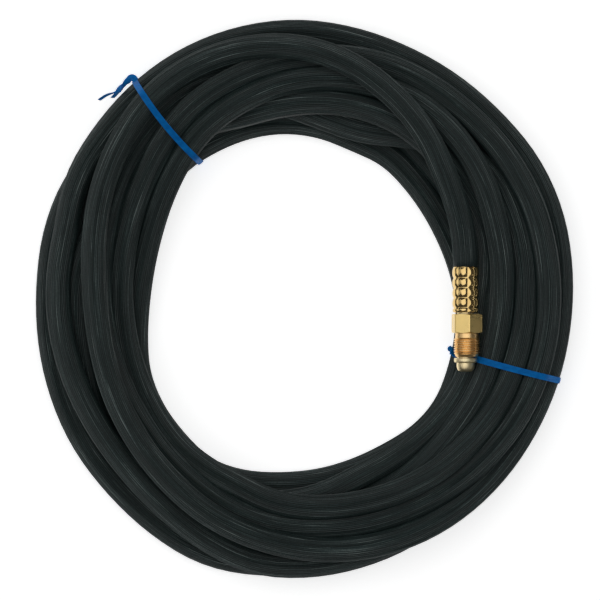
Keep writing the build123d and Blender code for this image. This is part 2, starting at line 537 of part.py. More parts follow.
# ------------------------------------------------------------------- output
os.makedirs("parts", exist_ok=True)
for name, shape in parts.items():
    sol = shape.solids()
    print(name, "solids", len(sol), "valid", all(s.is_valid for s in sol), "volume", round(sum(s.volume for s in sol)))
    out = Compound(children=list(sol)) if len(sol) > 1 else sol[0]
    export_step(out, f"parts/{name}.step")
print("hose route length", round(HOSE_LENGTH), "mm; tail", round(tail_length), "mm")
box = Compound(children=[s for v in parts.values() for s in v.solids()]).bounding_box()
print("bounding box", box.min, box.max)
print("thread starts", thread0, "collar", collar0, "torch collar", c0)
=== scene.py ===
import math

import bmesh
import bpy
import numpy as np
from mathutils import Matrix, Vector


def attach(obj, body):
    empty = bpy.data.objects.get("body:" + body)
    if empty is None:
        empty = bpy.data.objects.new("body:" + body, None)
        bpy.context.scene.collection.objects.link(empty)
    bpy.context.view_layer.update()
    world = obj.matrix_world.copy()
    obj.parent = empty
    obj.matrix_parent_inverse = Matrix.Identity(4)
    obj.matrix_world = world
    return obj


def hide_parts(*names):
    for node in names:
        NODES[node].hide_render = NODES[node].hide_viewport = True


# TIG torch power cable: 7.7 m of ribbed rubber hose in a flat coil, a crimped
# brass fitting with a swivel nut at each end, and two twist ties.
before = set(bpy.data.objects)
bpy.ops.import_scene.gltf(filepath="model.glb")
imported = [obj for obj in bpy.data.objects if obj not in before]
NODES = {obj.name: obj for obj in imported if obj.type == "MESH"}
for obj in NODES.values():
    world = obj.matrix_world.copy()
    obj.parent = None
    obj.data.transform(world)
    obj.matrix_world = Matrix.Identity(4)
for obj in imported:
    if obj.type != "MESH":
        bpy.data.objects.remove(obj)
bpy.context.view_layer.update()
RNG = np.random.default_rng(7)

MM = 0.001
HOSE_R = 7.45
MX, MY, MZ = 97.37, 19.33, 39.10
TX, TY, TZ = 44.44, 107.42, 8.45
T_DIR = math.radians(157.5)
HEX_PHASE = math.radians(18.9)
NUT_SAG = 0.8
WX, WY = -0.83, -1.87

# Control points of the hose's line, in metres: from the machine end, nine
# turns counter-clockwise, to the torch end.
ROUTE = [
    (0.09737, 0.01733, 0.03910), (0.09737, 0.03113, 0.03910), (0.09346, 0.05327, 0.04215), (0.08476, 0.07604, 0.04587),
    (0.07331, 0.10092, 0.04845), (0.05395, 0.12376, 0.04895), (0.02873, 0.14245, 0.04814), (-0.00240, 0.15314, 0.04694),
    (-0.03547, 0.15260, 0.04599), (-0.06718, 0.14196, 0.04539), (-0.09387, 0.12231, 0.04515), (-0.11189, 0.09484, 0.04529),
    (-0.12306, 0.06599, 0.04580), (-0.12739, 0.03689, 0.04662), (-0.12735, 0.00938, 0.04731), (-0.12501, -0.01685, 0.04765),
    (-0.12006, -0.04259, 0.04794), (-0.11094, -0.06766, 0.04801), (-0.09725, -0.09131, 0.04792), (-0.07914, -0.11297, 0.04723),
    (-0.05630, -0.13177, 0.04538), (-0.02875, -0.14460, 0.04238), (0.00168, -0.15186, 0.03852), (0.03377, -0.15143, 0.03482),
    (0.06534, -0.14313, 0.03115), (0.09358, -0.12676, 0.02692), (0.11727, -0.10392, 0.02338), (0.13531, -0.07675, 0.02103),
    (0.14800, -0.04686, 0.01932), (0.15475, -0.01489, 0.01778), (0.15579, 0.01797, 0.01652), (0.15054, 0.05099, 0.01563),
    (0.13670, 0.08179, 0.01509), (0.11520, 0.10759, 0.01491), (0.09007, 0.12960, 0.01505), (0.06103, 0.14643, 0.01534),
    (0.02918, 0.15793, 0.01579), (-0.00488, 0.16270, 0.01637), (-0.03918, 0.15823, 0.01736), (-0.07134, 0.14579, 0.01879),
    (-0.09919, 0.12602, 0.02034), (-0.12141, 0.10081, 0.02221), (-0.13863, 0.07251, 0.02444), (-0.14456, 0.04038, 0.02696),
    (-0.14985, 0.00945, 0.02962), (-0.14752, -0.02160, 0.03154), (-0.13861, -0.05125, 0.03198), (-0.12458, -0.07826, 0.03073),
    (-0.10667, -0.10292, 0.02851), (-0.08530, -0.12547, 0.02644), (-0.06006, -0.14599, 0.02467), (-0.02951, -0.16067, 0.02321),
    (0.00426, -0.16208, 0.02202), (0.03727, -0.15509, 0.02022), (0.06668, -0.14171, 0.01638), (0.09205, -0.12151, 0.01274),
    (0.11448, -0.09959, 0.00995), (0.12990, -0.07205, 0.00859), (0.13925, -0.04172, 0.00872), (0.14392, -0.01185, 0.00799),
    (0.14112, 0.01819, 0.00756), (0.13280, 0.04688, 0.00745), (0.12055, 0.07421, 0.00747), (0.10316, 0.09842, 0.00747),
    (0.08196, 0.12043, 0.00746), (0.05399, 0.13599, 0.00748), (0.02496, 0.14668, 0.00747), (-0.00585, 0.15094, 0.00747),
    (-0.03901, 0.14698, 0.00745), (-0.06852, 0.13655, 0.00781), (-0.09481, 0.11665, 0.00886), (-0.11775, 0.09574, 0.00826),
    (-0.13955, 0.07090, 0.00770), (-0.15163, 0.04042, 0.00746), (-0.15560, 0.00790, 0.00746), (-0.15482, -0.02456, 0.00747),
    (-0.14794, -0.05660, 0.00746), (-0.13463, -0.08691, 0.00746), (-0.11446, -0.11336, 0.00746), (-0.09011, -0.13647, 0.00747),
    (-0.06084, -0.15479, 0.00746), (-0.02726, -0.16128, 0.00747), (0.00685, -0.15876, 0.00749), (0.03845, -0.14767, 0.00745),
    (0.06408, -0.12823, 0.00749), (0.08486, -0.10907, 0.00746), (0.10503, -0.08852, 0.00764), (0.11803, -0.06325, 0.00829),
    (0.12580, -0.03606, 0.00882), (0.12916, -0.00919, 0.00810), (0.12615, 0.01789, 0.00760), (0.11831, 0.04332, 0.00744),
    (0.10707, 0.06775, 0.00755), (0.09127, 0.08994, 0.00732), (0.07127, 0.11009, 0.00880), (0.04740, 0.12340, 0.01180),
    (0.02291, 0.13379, 0.01474), (-0.00157, 0.13999, 0.01676), (-0.03800, 0.13626, 0.01755), (-0.06740, 0.12854, 0.01989),
    (-0.09088, 0.10850, 0.02298), (-0.10805, 0.08395, 0.02718), (-0.11818, 0.05756, 0.03145), (-0.12309, 0.03028, 0.03282),
    (-0.12448, 0.00423, 0.03289), (-0.12160, -0.02145, 0.03332), (-0.11427, -0.04582, 0.03414), (-0.10331, -0.06891, 0.03480),
    (-0.08899, -0.09044, 0.03520), (-0.07046, -0.10965, 0.03529), (-0.04801, -0.12591, 0.03380), (-0.02172, -0.13677, 0.03115),
    (0.00706, -0.13909, 0.02978), (0.03607, -0.13624, 0.02969), (0.06411, -0.12750, 0.03016), (0.09031, -0.11285, 0.03107),
    (0.11290, -0.09272, 0.03228), (0.13152, -0.06799, 0.03273), (0.14323, -0.03913, 0.03188), (0.14851, -0.00836, 0.03050),
    (0.14718, 0.02297, 0.02933), (0.13999, 0.05378, 0.02848), (0.12554, 0.08209, 0.02798), (0.10519, 0.10648, 0.02782),
    (0.08090, 0.12709, 0.02800), (0.05223, 0.14152, 0.02853), (0.02078, 0.14742, 0.02939), (-0.01094, 0.14518, 0.03067),
    (-0.03968, 0.13512, 0.03217), (-0.06542, 0.11979, 0.03248), (-0.08436, 0.09788, 0.03202), (-0.09686, 0.07315, 0.03084),
    (-0.10526, 0.04929, 0.02880), (-0.11008, 0.02556, 0.02704), (-0.11152, 0.00208, 0.02589), (-0.10922, -0.02083, 0.02515),
    (-0.10355, -0.04326, 0.02442), (-0.09431, -0.06476, 0.02409), (-0.08090, -0.08486, 0.02502), (-0.06247, -0.10128, 0.02795),
    (-0.04108, -0.11251, 0.03244), (-0.01793, -0.12367, 0.03606), (0.00812, -0.12674, 0.03737), (0.03429, -0.12363, 0.03781),
    (0.06004, -0.11587, 0.03828), (0.08387, -0.10224, 0.03856), (0.10378, -0.08298, 0.03766), (0.11984, -0.06007, 0.03542),
    (0.12951, -0.03370, 0.03247), (0.13395, -0.00597, 0.02955), (0.13258, 0.02242, 0.02693), (0.12622, 0.05017, 0.02467),
    (0.11268, 0.07609, 0.02276), (0.08998, 0.09381, 0.02120), (0.06065, 0.09905, 0.02128), (0.03494, 0.10121, 0.02195),
    (0.01208, 0.10938, 0.02055), (-0.01225, 0.11830, 0.01605), (-0.03769, 0.12307, 0.01220), (-0.06517, 0.11678, 0.01001),
    (-0.08982, 0.10279, 0.00849), (-0.11024, 0.08237, 0.00771), (-0.13068, 0.05896, 0.00754), (-0.13904, 0.03043, 0.00742),
    (-0.13417, 0.00055, 0.00755), (-0.13164, -0.02541, 0.00751), (-0.12148, -0.05290, 0.00747), (-0.10858, -0.07709, 0.00747),
    (-0.08881, -0.09517, 0.00760), (-0.06971, -0.11455, 0.00741), (-0.04430, -0.12821, 0.00750), (-0.01494, -0.13095, 0.00913),
    (0.01103, -0.12855, 0.01288), (0.03572, -0.12195, 0.01854), (0.05949, -0.11078, 0.02363), (0.07904, -0.09346, 0.02780),
    (0.09496, -0.07427, 0.03028), (0.10841, -0.05253, 0.03091), (0.11544, -0.02866, 0.03189), (0.11974, -0.00390, 0.03354),
    (0.12033, 0.02173, 0.03544), (0.11582, 0.04743, 0.03715), (0.10788, 0.07398, 0.03728), (0.09241, 0.09835, 0.03615),
    (0.07091, 0.11837, 0.03493), (0.04391, 0.12983, 0.03435), (0.01512, 0.13410, 0.03537), (-0.01333, 0.13090, 0.03648),
    (-0.03933, 0.11974, 0.03634), (-0.06084, 0.10415, 0.03387), (-0.07604, 0.08338, 0.02933), (-0.08640, 0.06155, 0.02486),
    (-0.09321, 0.04024, 0.02085), (-0.09793, 0.01975, 0.01733), (-0.10088, -0.00080, 0.01428), (-0.10233, -0.02226, 0.01170),
    (-0.10108, -0.04520, 0.00981), (-0.09248, -0.06721, 0.00867), (-0.07835, -0.08652, 0.00794), (-0.06061, -0.10389, 0.00754),
    (-0.03745, -0.11167, 0.00745), (-0.01294, -0.11277, 0.00747), (0.00999, -0.11051, 0.00746), (0.03184, -0.10400, 0.00747),
    (0.05186, -0.09442, 0.00750), (0.07115, -0.08249, 0.00750), (0.08593, -0.06550, 0.00738), (0.09404, -0.04450, 0.00826),
    (0.09858, -0.02325, 0.00891), (0.09936, -0.00212, 0.00809), (0.09517, 0.01836, 0.00761), (0.08788, 0.03742, 0.00745),
    (0.07838, 0.05538, 0.00747), (0.06617, 0.07227, 0.00746), (0.05108, 0.08764, 0.00746), (0.03111, 0.09662, 0.00758),
    (0.01037, 0.10519, 0.00746), (-0.01252, 0.10804, 0.00743), (-0.03536, 0.10464, 0.00769), (-0.05737, 0.09562, 0.00828),
    (-0.07719, 0.08272, 0.00895), (-0.09153, 0.06336, 0.00976), (-0.10788, 0.04505, 0.01114), (-0.11775, 0.02278, 0.01311),
    (-0.12203, -0.00231, 0.01555), (-0.12116, -0.02751, 0.01829), (-0.11506, -0.05294, 0.02060), (-0.10632, -0.07907, 0.02200),
    (-0.08949, -0.10175, 0.02195), (-0.06695, -0.11599, 0.02114), (-0.03687, -0.12196, 0.02044), (-0.01179, -0.12378, 0.02199),
    (0.01144, -0.11882, 0.02406), (0.03434, -0.10705, 0.02367), (0.05442, -0.09617, 0.02233), (0.07285, -0.08234, 0.02149),
    (0.08864, -0.06549, 0.02129), (0.09978, -0.04561, 0.02136), (0.10641, -0.02298, 0.02144), (0.10977, -0.00086, 0.02201),
    (0.11277, 0.02328, 0.02290), (0.10849, 0.04837, 0.02463), (0.09606, 0.07064, 0.02853), (0.08010, 0.08957, 0.03348),
    (0.05974, 0.10643, 0.03510), (0.03581, 0.11622, 0.03376), (0.01029, 0.11980, 0.03232), (-0.01538, 0.11723, 0.02941),
    (-0.03867, 0.11070, 0.02314), (-0.06333, 0.10547, 0.01887), (-0.08672, 0.09032, 0.01721), (-0.10315, 0.07029, 0.01649),
    (-0.12184, 0.04795, 0.01788), (-0.13550, 0.02436, 0.02148), (-0.13883, -0.00395, 0.02164), (-0.13522, -0.03295, 0.02043),
    (-0.12889, -0.06136, 0.01782), (-0.11640, -0.08873, 0.01506), (-0.09574, -0.11113, 0.01283), (-0.07188, -0.13043, 0.01101),
    (-0.04343, -0.14338, 0.00947), (-0.01283, -0.14553, 0.00820), (0.01763, -0.14128, 0.00748), (0.04479, -0.12703, 0.00745),
    (0.06242, -0.10581, 0.00748), (0.08327, -0.09131, 0.00762), (0.09909, -0.07119, 0.00806), (0.10823, -0.04729, 0.00874),
    (0.11336, -0.02329, 0.00854), (0.11390, 0.00095, 0.00779), (0.10874, 0.02427, 0.00748), (0.10029, 0.04620, 0.00745),
    (0.08915, 0.06630, 0.00752), (0.07272, 0.08631, 0.00739), (0.05645, 0.10245, 0.00845), (0.04444, 0.10742, 0.00845),
]


# ------------------------------------------------------------------ materials
def new_material(name):
    m = bpy.data.materials.new(name)
    m.use_nodes = True
    nt = m.node_tree
    bsdf = nt.nodes["Principled BSDF"]
    return m, nt, bsdf


def node(nt, kind, **props):
    n = nt.nodes.new(kind)
    for k, v in props.items():
        if k.startswith("in_"):
            key = k[3:]
            n.inputs[int(key) if key.isdigit() else key.replace("_", " ")].default_value = v
        else:
            setattr(n, k, v)
    return n


def math_node(nt, op, a, b=None):
    n = nt.nodes.new("ShaderNodeMath")
    n.operation = op
    for i, v in enumerate((a, b)):
        if v is None:
            continue
        if isinstance(v, (int, float)):
            n.inputs[i].default_value = v
        else:
            nt.links.new(v, n.inputs[i])
    return n.outputs[0]


def ramp(nt, fac, stops):
    r = nt.nodes.new("ShaderNodeValToRGB")
    e = r.color_ramp.elements
    while len(e) < len(stops):
        e.new(0.5)
    for el, (p, c) in zip(e, stops):
        el.position = p
        el.color = (*c, 1) if len(c) == 3 else (c[0], c[0], c[0], 1)
    nt.links.new(fac, r.inputs[0])
    return r.outputs[0]


def bump(nt, bsdf, height, strength, distance):
    b = node(nt, "ShaderNodeBump", in_Strength=strength, in_Distance=distance)
    nt.links.new(height, b.inputs["Height"])
    nt.links.new(b.outputs[0], bsdf.inputs["Normal"])
    return b


def rubber_material():
    """Extruded ribbed cover: fine lines run along the hose, some shinier. The bright lines along the ribs are painted
    highlights, and the rib crests are painted lighter and the valleys darker, as painted highlight and painted shade.
    """
    m, nt, p = new_material("rubber")
    uv = node(nt, "ShaderNodeUVMap", uv_map="hose")
    sep = node(nt, "ShaderNodeSeparateXYZ")
    nt.links.new(uv.outputs[0], sep.inputs[0])
    ang = math_node(nt, "MULTIPLY", sep.outputs[1], 2 * math.pi)
    co, si = math_node(nt, "COSINE", ang), math_node(nt, "SINE", ang)

    def along(stretch, scale, detail, rough=0.6, seed=0.0):
        c = node(nt, "ShaderNodeCombineXYZ")
        nt.links.new(co, c.inputs[0])
        nt.links.new(si, c.inputs[1])
        z = math_node(nt, "MULTIPLY", sep.outputs[0], stretch)
        z = math_node(nt, "ADD", z, seed)
        nt.links.new(z, c.inputs[2])
        n = node(nt, "ShaderNodeTexNoise", in_Scale=scale, in_Detail=detail, in_Roughness=rough)
        nt.links.new(c.outputs[0], n.inputs["Vector"])
        return n.outputs["Fac"]

    broad = along(8.0, 1.1, 2.0)                 # dull and polished stretches
    fine = along(2.6, 6.5, 2.0, 0.6, 5.0)        # streaks, a few cm long
    hairline_relief_and_glints = along(2.0, 14.0, 2.0, 0.6, 9.0)       # hair lines: relief in the bump, painted highlight lines in the colour
    grain = node(nt, "ShaderNodeTexNoise", in_Scale=900.0, in_Detail=2.0)
    geo = node(nt, "ShaderNodeTexCoord")
    nt.links.new(geo.outputs["Object"], grain.inputs["Vector"])

    # rib crests lighter and rib valleys darker along the hair lines: painted highlight and painted shade
    crest = math_node(nt, "COSINE", math_node(nt, "MULTIPLY", sep.outputs[1], 2 * math.pi * 42))
    crest = math_node(nt, "MULTIPLY", math_node(nt, "ADD", crest, 0.2), math_node(nt, "MULTIPLY", hairline_relief_and_glints, 0.30))

    streak = ramp(nt, fine, [(0.38, (0.0,)), (0.55, (0.40,)), (0.66, (1.0,))])
    # bright hair lines: painted highlight lines standing in for light glancing off the ribs
    line = ramp(nt, hairline_relief_and_glints, [(0.49, (0.0,)), (0.60, (0.36,)), (0.71, (1.0,))])
    tone_and_painted_glints = math_node(nt, "ADD", math_node(nt, "MULTIPLY", streak, 0.27), math_node(nt, "MULTIPLY", line, 0.50))
    tone_and_painted_glints = math_node(nt, "MULTIPLY", tone_and_painted_glints, math_node(nt, "ADD", math_node(nt, "MULTIPLY", broad, 1.2), 0.30))
    tone_and_painted_glints = math_node(nt, "ADD", tone_and_painted_glints, math_node(nt, "MULTIPLY", grain.outputs["Fac"], 0.42))
    tone_and_painted_glints = math_node(nt, "ADD", tone_and_painted_glints, crest)
    # dark to light; the lightest stop is the painted highlight colour of the bright lines and rib crests
    col = ramp(nt, tone_and_painted_glints, [(0.14, (0.0048, 0.0100, 0.0096)), (0.44, (0.0142, 0.0268, 0.0258)), (0.72, (0.042, 0.065, 0.063)), (1.00, (0.16, 0.20, 0.19))])
    nt.links.new(col, p.inputs["Base Color"])
    rough = math_node(nt, "SUBTRACT", 0.60, math_node(nt, "MULTIPLY", tone_and_painted_glints, 0.16))
    nt.links.new(rough, p.inputs["Roughness"])
    p.inputs["Specular IOR Level"].default_value = 0.36
    h = math_node(nt, "ADD", math_node(nt, "MULTIPLY", hairline_relief_and_glints, 0.9), math_node(nt, "MULTIPLY", fine, 0.8))
    h = math_node(nt, "ADD", h, math_node(nt, "MULTIPLY", grain.outputs["Fac"], 0.12))
    bump(nt, p, h, 0.55, 0.00035)
    return m


def brass_material(name, tint, rough, turned, tarnish):
    """Brass with a slight tarnish, turning marks and small scratches."""
    m, nt, p = new_material(name)
    geo = node(nt, "ShaderNodeTexCoord")
    obj = geo.outputs["Object"]
    big = node(nt, "ShaderNodeTexNoise", in_Scale=140.0, in_Detail=3.0, in_Roughness=0.6)
    nt.links.new(obj, big.inputs["Vector"])
    small = node(nt, "ShaderNodeTexNoise", in_Scale=1900.0, in_Detail=2.0)
    nt.links.new(obj, small.inputs["Vector"])
    light = tuple(min(1.0, c * 1.06) for c in tint)
    dark = tuple(c * d for c, d in zip(tint, (1 - tarnish, 1 - tarnish * 1.25, 1 - tarnish * 1.6)))
    col = ramp(nt, big.outputs["Fac"], [(0.30, dark), (0.50, tint), (0.72, light)])
    nt.links.new(col, p.inputs["Base Color"])
    p.inputs["Metallic"].default_value = 1.0
    r = math_node(nt, "ADD", math_node(nt, "MULTIPLY", big.outputs["Fac"], 0.12), rough - 0.04)
    r = math_node(nt, "ADD", r, math_node(nt, "MULTIPLY", small.outputs["Fac"], 0.08))
    nt.links.new(r, p.inputs["Roughness"])
    sep = node(nt, "ShaderNodeSeparateXYZ")
    nt.links.new(obj, sep.inputs[0])
    wave = math_node(nt, "SINE", math_node(nt, "MULTIPLY", sep.outputs[1], 2 * math.pi / 0.00042))
    h = math_node(nt, "ADD", math_node(nt, "MULTIPLY", wave, turned), math_node(nt, "MULTIPLY", small.outputs["Fac"], 0.9))
    h = math_node(nt, "ADD", h, math_node(nt, "MULTIPLY", big.outputs["Fac"], 1.2))
    bump(nt, p, h, 0.25, 0.00006)
    return m


def blue_material():
    """Vinyl skin of a twist tie."""
    m, nt, p = new_material("blue_plastic")
    geo = node(nt, "ShaderNodeTexCoord")
    n1 = node(nt, "ShaderNodeTexNoise", in_Scale=260.0, in_Detail=3.0)
    nt.links.new(geo.outputs["Object"], n1.inputs["Vector"])
    n2 = node(nt, "ShaderNodeTexNoise", in_Scale=2400.0, in_Detail=1.0)
    nt.links.new(geo.outputs["Object"], n2.inputs["Vector"])
    col = ramp(nt, n1.outputs["Fac"], [(0.25, (0.0010, 0.120, 0.42)), (0.5, (0.0014, 0.160, 0.52)), (0.78, (0.003, 0.215, 0.64))])
    nt.links.new(col, p.inputs["Base Color"])
    r = math_node(nt, "ADD", math_node(nt, "MULTIPLY", n1.outputs["Fac"], 0.16), 0.56)
    nt.links.new(r, p.inputs["Roughness"])
    p.inputs["Specular IOR Level"].default_value = 0.10
    h = math_node(nt, "ADD", n1.outputs["Fac"], math_node(nt, "MULTIPLY", n2.outputs["Fac"], 0.3))
    bump(nt, p, h, 0.25, 0.0002)
    return m


def textile_material():
    """Woven reinforcement: crossed spirals of yarn."""
    m, nt, p = new_material("textile")
    geo = node(nt, "ShaderNodeTexCoord")
    outs = []
    for d, s in (((1, 1, 1), 1.0), ((1, -1, 1), 1.0)):
        w = node(nt, "ShaderNodeTexWave", in_Scale=260.0, in_Distortion=0.6)
        mp = node(nt, "ShaderNodeMapping")
        mp.inputs["Rotation"].default_value = (0.5 * d[0], 0.8 * d[1], 0.4)
        nt.links.new(geo.outputs["Object"], mp.inputs[0])
        nt.links.new(mp.outputs[0], w.inputs["Vector"])
        outs.append(w.outputs["Fac"])
    h = math_node(nt, "MAXIMUM", outs[0], outs[1])
    col = ramp(nt, h, [(0.1, (0.10, 0.09, 0.07)), (0.9, (0.42, 0.39, 0.32))])
    nt.links.new(col, p.inputs["Base Color"])
    p.inputs["Roughness"].default_value = 0.85
    p.inputs["Sheen Weight"].default_value = 0.3
    bump(nt, p, h, 0.6, 0.0003)
    return m


def inner_rubber_material():
    m, nt, p = new_material("inner_rubber")
    geo = node(nt, "ShaderNodeTexCoord")
    n = node(nt, "ShaderNodeTexNoise", in_Scale=400.0, in_Detail=3.0)
    nt.links.new(geo.outputs["Object"], n.inputs["Vector"])
    col = ramp(nt, n.outputs["Fac"], [(0.3, (0.008, 0.008, 0.009)), (0.75, (0.026, 0.026, 0.027))])
    nt.links.new(col, p.inputs["Base Color"])
    r = math_node(nt, "ADD", math_node(nt, "MULTIPLY", n.outputs["Fac"], 0.2), 0.4)
    nt.links.new(r, p.inputs["Roughness"])
    bump(nt, p, n.outputs["Fac"], 0.2, 0.0002)
    return m


def metal_material(name, dark, light, rough, scale):
    m, nt, p = new_material(name)
    geo = node(nt, "ShaderNodeTexCoord")
    n = node(nt, "ShaderNodeTexNoise", in_Scale=scale, in_Detail=4.0)
    nt.links.new(geo.outputs["Object"], n.inputs["Vector"])
    w = node(nt, "ShaderNodeTexWave", in_Scale=420.0, in_Distortion=1.5)
    w.bands_direction = "DIAGONAL"
    nt.links.new(geo.outputs["Object"], w.inputs["Vector"])
    h = math_node(nt, "ADD", math_node(nt, "MULTIPLY", n.outputs["Fac"], 0.5), math_node(nt, "MULTIPLY", w.outputs["Fac"], 0.5))
    nt.links.new(ramp(nt, h, [(0.2, dark), (0.8, light)]), p.inputs["Base Color"])
    p.inputs["Metallic"].default_value = 1.0
    r = math_node(nt, "ADD", math_node(nt, "MULTIPLY", n.outputs["Fac"], 0.25), rough)
    nt.links.new(r, p.inputs["Roughness"])
    bump(nt, p, h, 0.5, 0.0002)
    return m


def floor_material():
    m, nt, p = new_material("floor")
    p.inputs["Base Color"].default_value = (0.93, 0.93, 0.93, 1)
    p.inputs["Roughness"].default_value = 0.95
    p.inputs["Specular IOR Level"].default_value = 0.0
    p.inputs["Emission Color"].default_value = (1, 1, 1, 1)
    p.inputs["Emission Strength"].default_value = FLOOR_GLOW
    return m


FLOOR_GLOW = 0.67
MAT = {
    "rubber": rubber_material(),
    "brass_bright": brass_material("brass_bright", (0.82, 0.58, 0.24), 0.08, 0.0, 0.20),
    "brass_satin": brass_material("brass_satin", (0.82, 0.60, 0.235), 0.23, 0.35, 0.08),
    "brass_thread": brass_material("brass_thread", (0.96, 0.64, 0.29), 0.27, 0.0, 0.08),
    "brass_nose": brass_material("brass_nose", (1.0, 0.83, 0.50), 0.38, 0.5, 0.05),
    "blue_plastic": blue_material(),
    "textile": textile_material(),
    "inner_rubber": inner_rubber_material(),
    "copper": metal_material("copper", (0.52, 0.22, 0.11), (0.86, 0.44, 0.26), 0.24, 900.0),
    "tie_wire": metal_material("tie_wire", (0.34, 0.34, 0.35), (0.62, 0.62, 0.63), 0.3, 1500.0),
}


# --------------------------------------------------------------- mesh helpers
def make_object(name, verts, faces, mats, body, mat_index=None, smooth=True, sharp=None):
    me = bpy.data.meshes.new(name)
    me.from_pydata([tuple(v) for v in np.asarray(verts) * MM], [], faces)
    me.validate()
    ob = bpy.data.objects.new(name, me)
    bpy.context.scene.collection.objects.link(ob)
    for m in mats:
        me.materials.append(MAT[m])
    if mat_index is not None:
        me.polygons.foreach_set("material_index", np.asarray(mat_index, np.int32))
    if smooth:
        me.polygons.foreach_set("use_smooth", np.ones(len(me.polygons), bool))
        if sharp:
            me.set_sharp_from_angle(angle=math.radians(sharp))
    me.update()
    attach(ob, body)
    return ob


def machine_place(p):
    """Fitting's local frame (z away from the hose) to the row frame, mm."""
    p = np.asarray(p, float)
    return np.stack([MX + p[:, 0], MY - p[:, 2], MZ + p[:, 1]], 1)


def torch_place(p):
    p = np.asarray(p, float)
    c, s = math.cos(T_DIR), math.sin(T_DIR)
    return np.stack([TX + p[:, 1] * s + p[:, 2] * c, TY - p[:, 1] * c + p[:, 2] * s, TZ + p[:, 0]], 1)


def turned(stations, n, phase=0.0):
    """Closed solid of revolution-like form. Stations are (radius, z) walked
    once round the section; a radius may be a function of the angle."""
    th = phase + 2 * math.pi * np.arange(n) / n
    verts, faces, mats = [], [], []
    k = len(stations)
    for r, z, *_ in stations:
        rr = r(th) if callable(r) else np.full(n, float(r))
        verts.append(np.stack([rr * np.cos(th), rr * np.sin(th), np.full(n, float(z))], 1))
    for i in range(k):
        j = (i + 1) % k
        mi = stations[j][2] if len(stations[j]) > 2 else 0
        for a in range(n):
            b = (a + 1) % n
            faces.append((i * n + a, i * n + b, j * n + b, j * n + a))
            mats.append(mi)
    return np.concatenate(verts), faces, mats


def softened(profile, arc=5):
    """Section corners given as (r, z, corner radius) turned into short arcs."""
    out = []
    profile = [p for i, p in enumerate(profile) if math.dist(p[:2], profile[i - 1][:2]) > 1e-6]
    m = len(profile)
    for i in range(m):
        r, z, cr = profile[i][:3]
        extra = profile[i][3:]
        if cr <= 0:
            out.append((r, z, *extra))
            continue
        p = np.array([r, z], float)
        a = np.array(profile[i - 1][:2], float) - p
        b = np.array(profile[(i + 1) % m][:2], float) - p
        la, lb = np.linalg.norm(a), np.linalg.norm(b)
        a, b = a / la, b / lb
        cut = min(cr, 0.48 * la, 0.48 * lb)
        for f in np.linspace(0, 1, arc):
            q = (1 - f) ** 2 * (p + a * cut) + 2 * f * (1 - f) * p + f * f * (p + b * cut)
            out.append((float(q[0]), float(q[1]), *extra))
    return out


def hex_radius(af, phase, p=70.0):
    a = af / 2

    def f(th):
        s = np.zeros_like(th)
        for k in range(6):
            c = np.cos(th - (phase + math.pi / 6 + k * math.pi / 3))
            s += np.where(c > 0.05, (np.maximum(c, 1e-9) / a) ** p, 0.0)
        return s ** (-1.0 / p)

    return f


def soft_min(a, b, w):
    """Smooth minimum of two radii, blended over w mm."""
    h = np.clip(0.5 + 0.5 * (b - a) / w, 0, 1)
    return b * (1 - h) + a * h - w * h * (1 - h) * 0.5


# ------------------------------------------------------------------ the hose
def hose_line():
    cu = bpy.data.curves.new("hose_line", "CURVE")
    cu.dimensions = "3D"
    cu.resolution_u = 4
    sp = cu.splines.new("NURBS")
    sp.points.add(len(ROUTE) - 1)
    for q, c in zip(sp.points, ROUTE):
        q.co = (c[0], c[1], c[2], 1.0)
    sp.order_u = 3
    sp.use_endpoint_u = True
    ob = bpy.data.objects.new("hose_line", cu)
    bpy.context.scene.collection.objects.link(ob)
    bpy.context.view_layer.update()
    dg = bpy.context.evaluated_depsgraph_get()
    me = bpy.data.meshes.new_from_object(ob.evaluated_get(dg))
    pts = np.array([v.co for v in me.vertices], float)
    bpy.data.meshes.remove(me)
    bpy.data.objects.remove(ob)
    bpy.data.curves.remove(cu)
    return pts


def smooth_noise(rows, cols, step):
    """Random columns that change slowly from row to row, -1 to 1."""
    k = rows // step + 3
    a = RNG.uniform(-1, 1, (k, cols))
    x = np.arange(rows) / step
    i = x.astype(int)
    f = (x - i)[:, None]
    f = f * f * (3 - 2 * f)
    return a[i] * (1 - f) + a[i + 1] * f


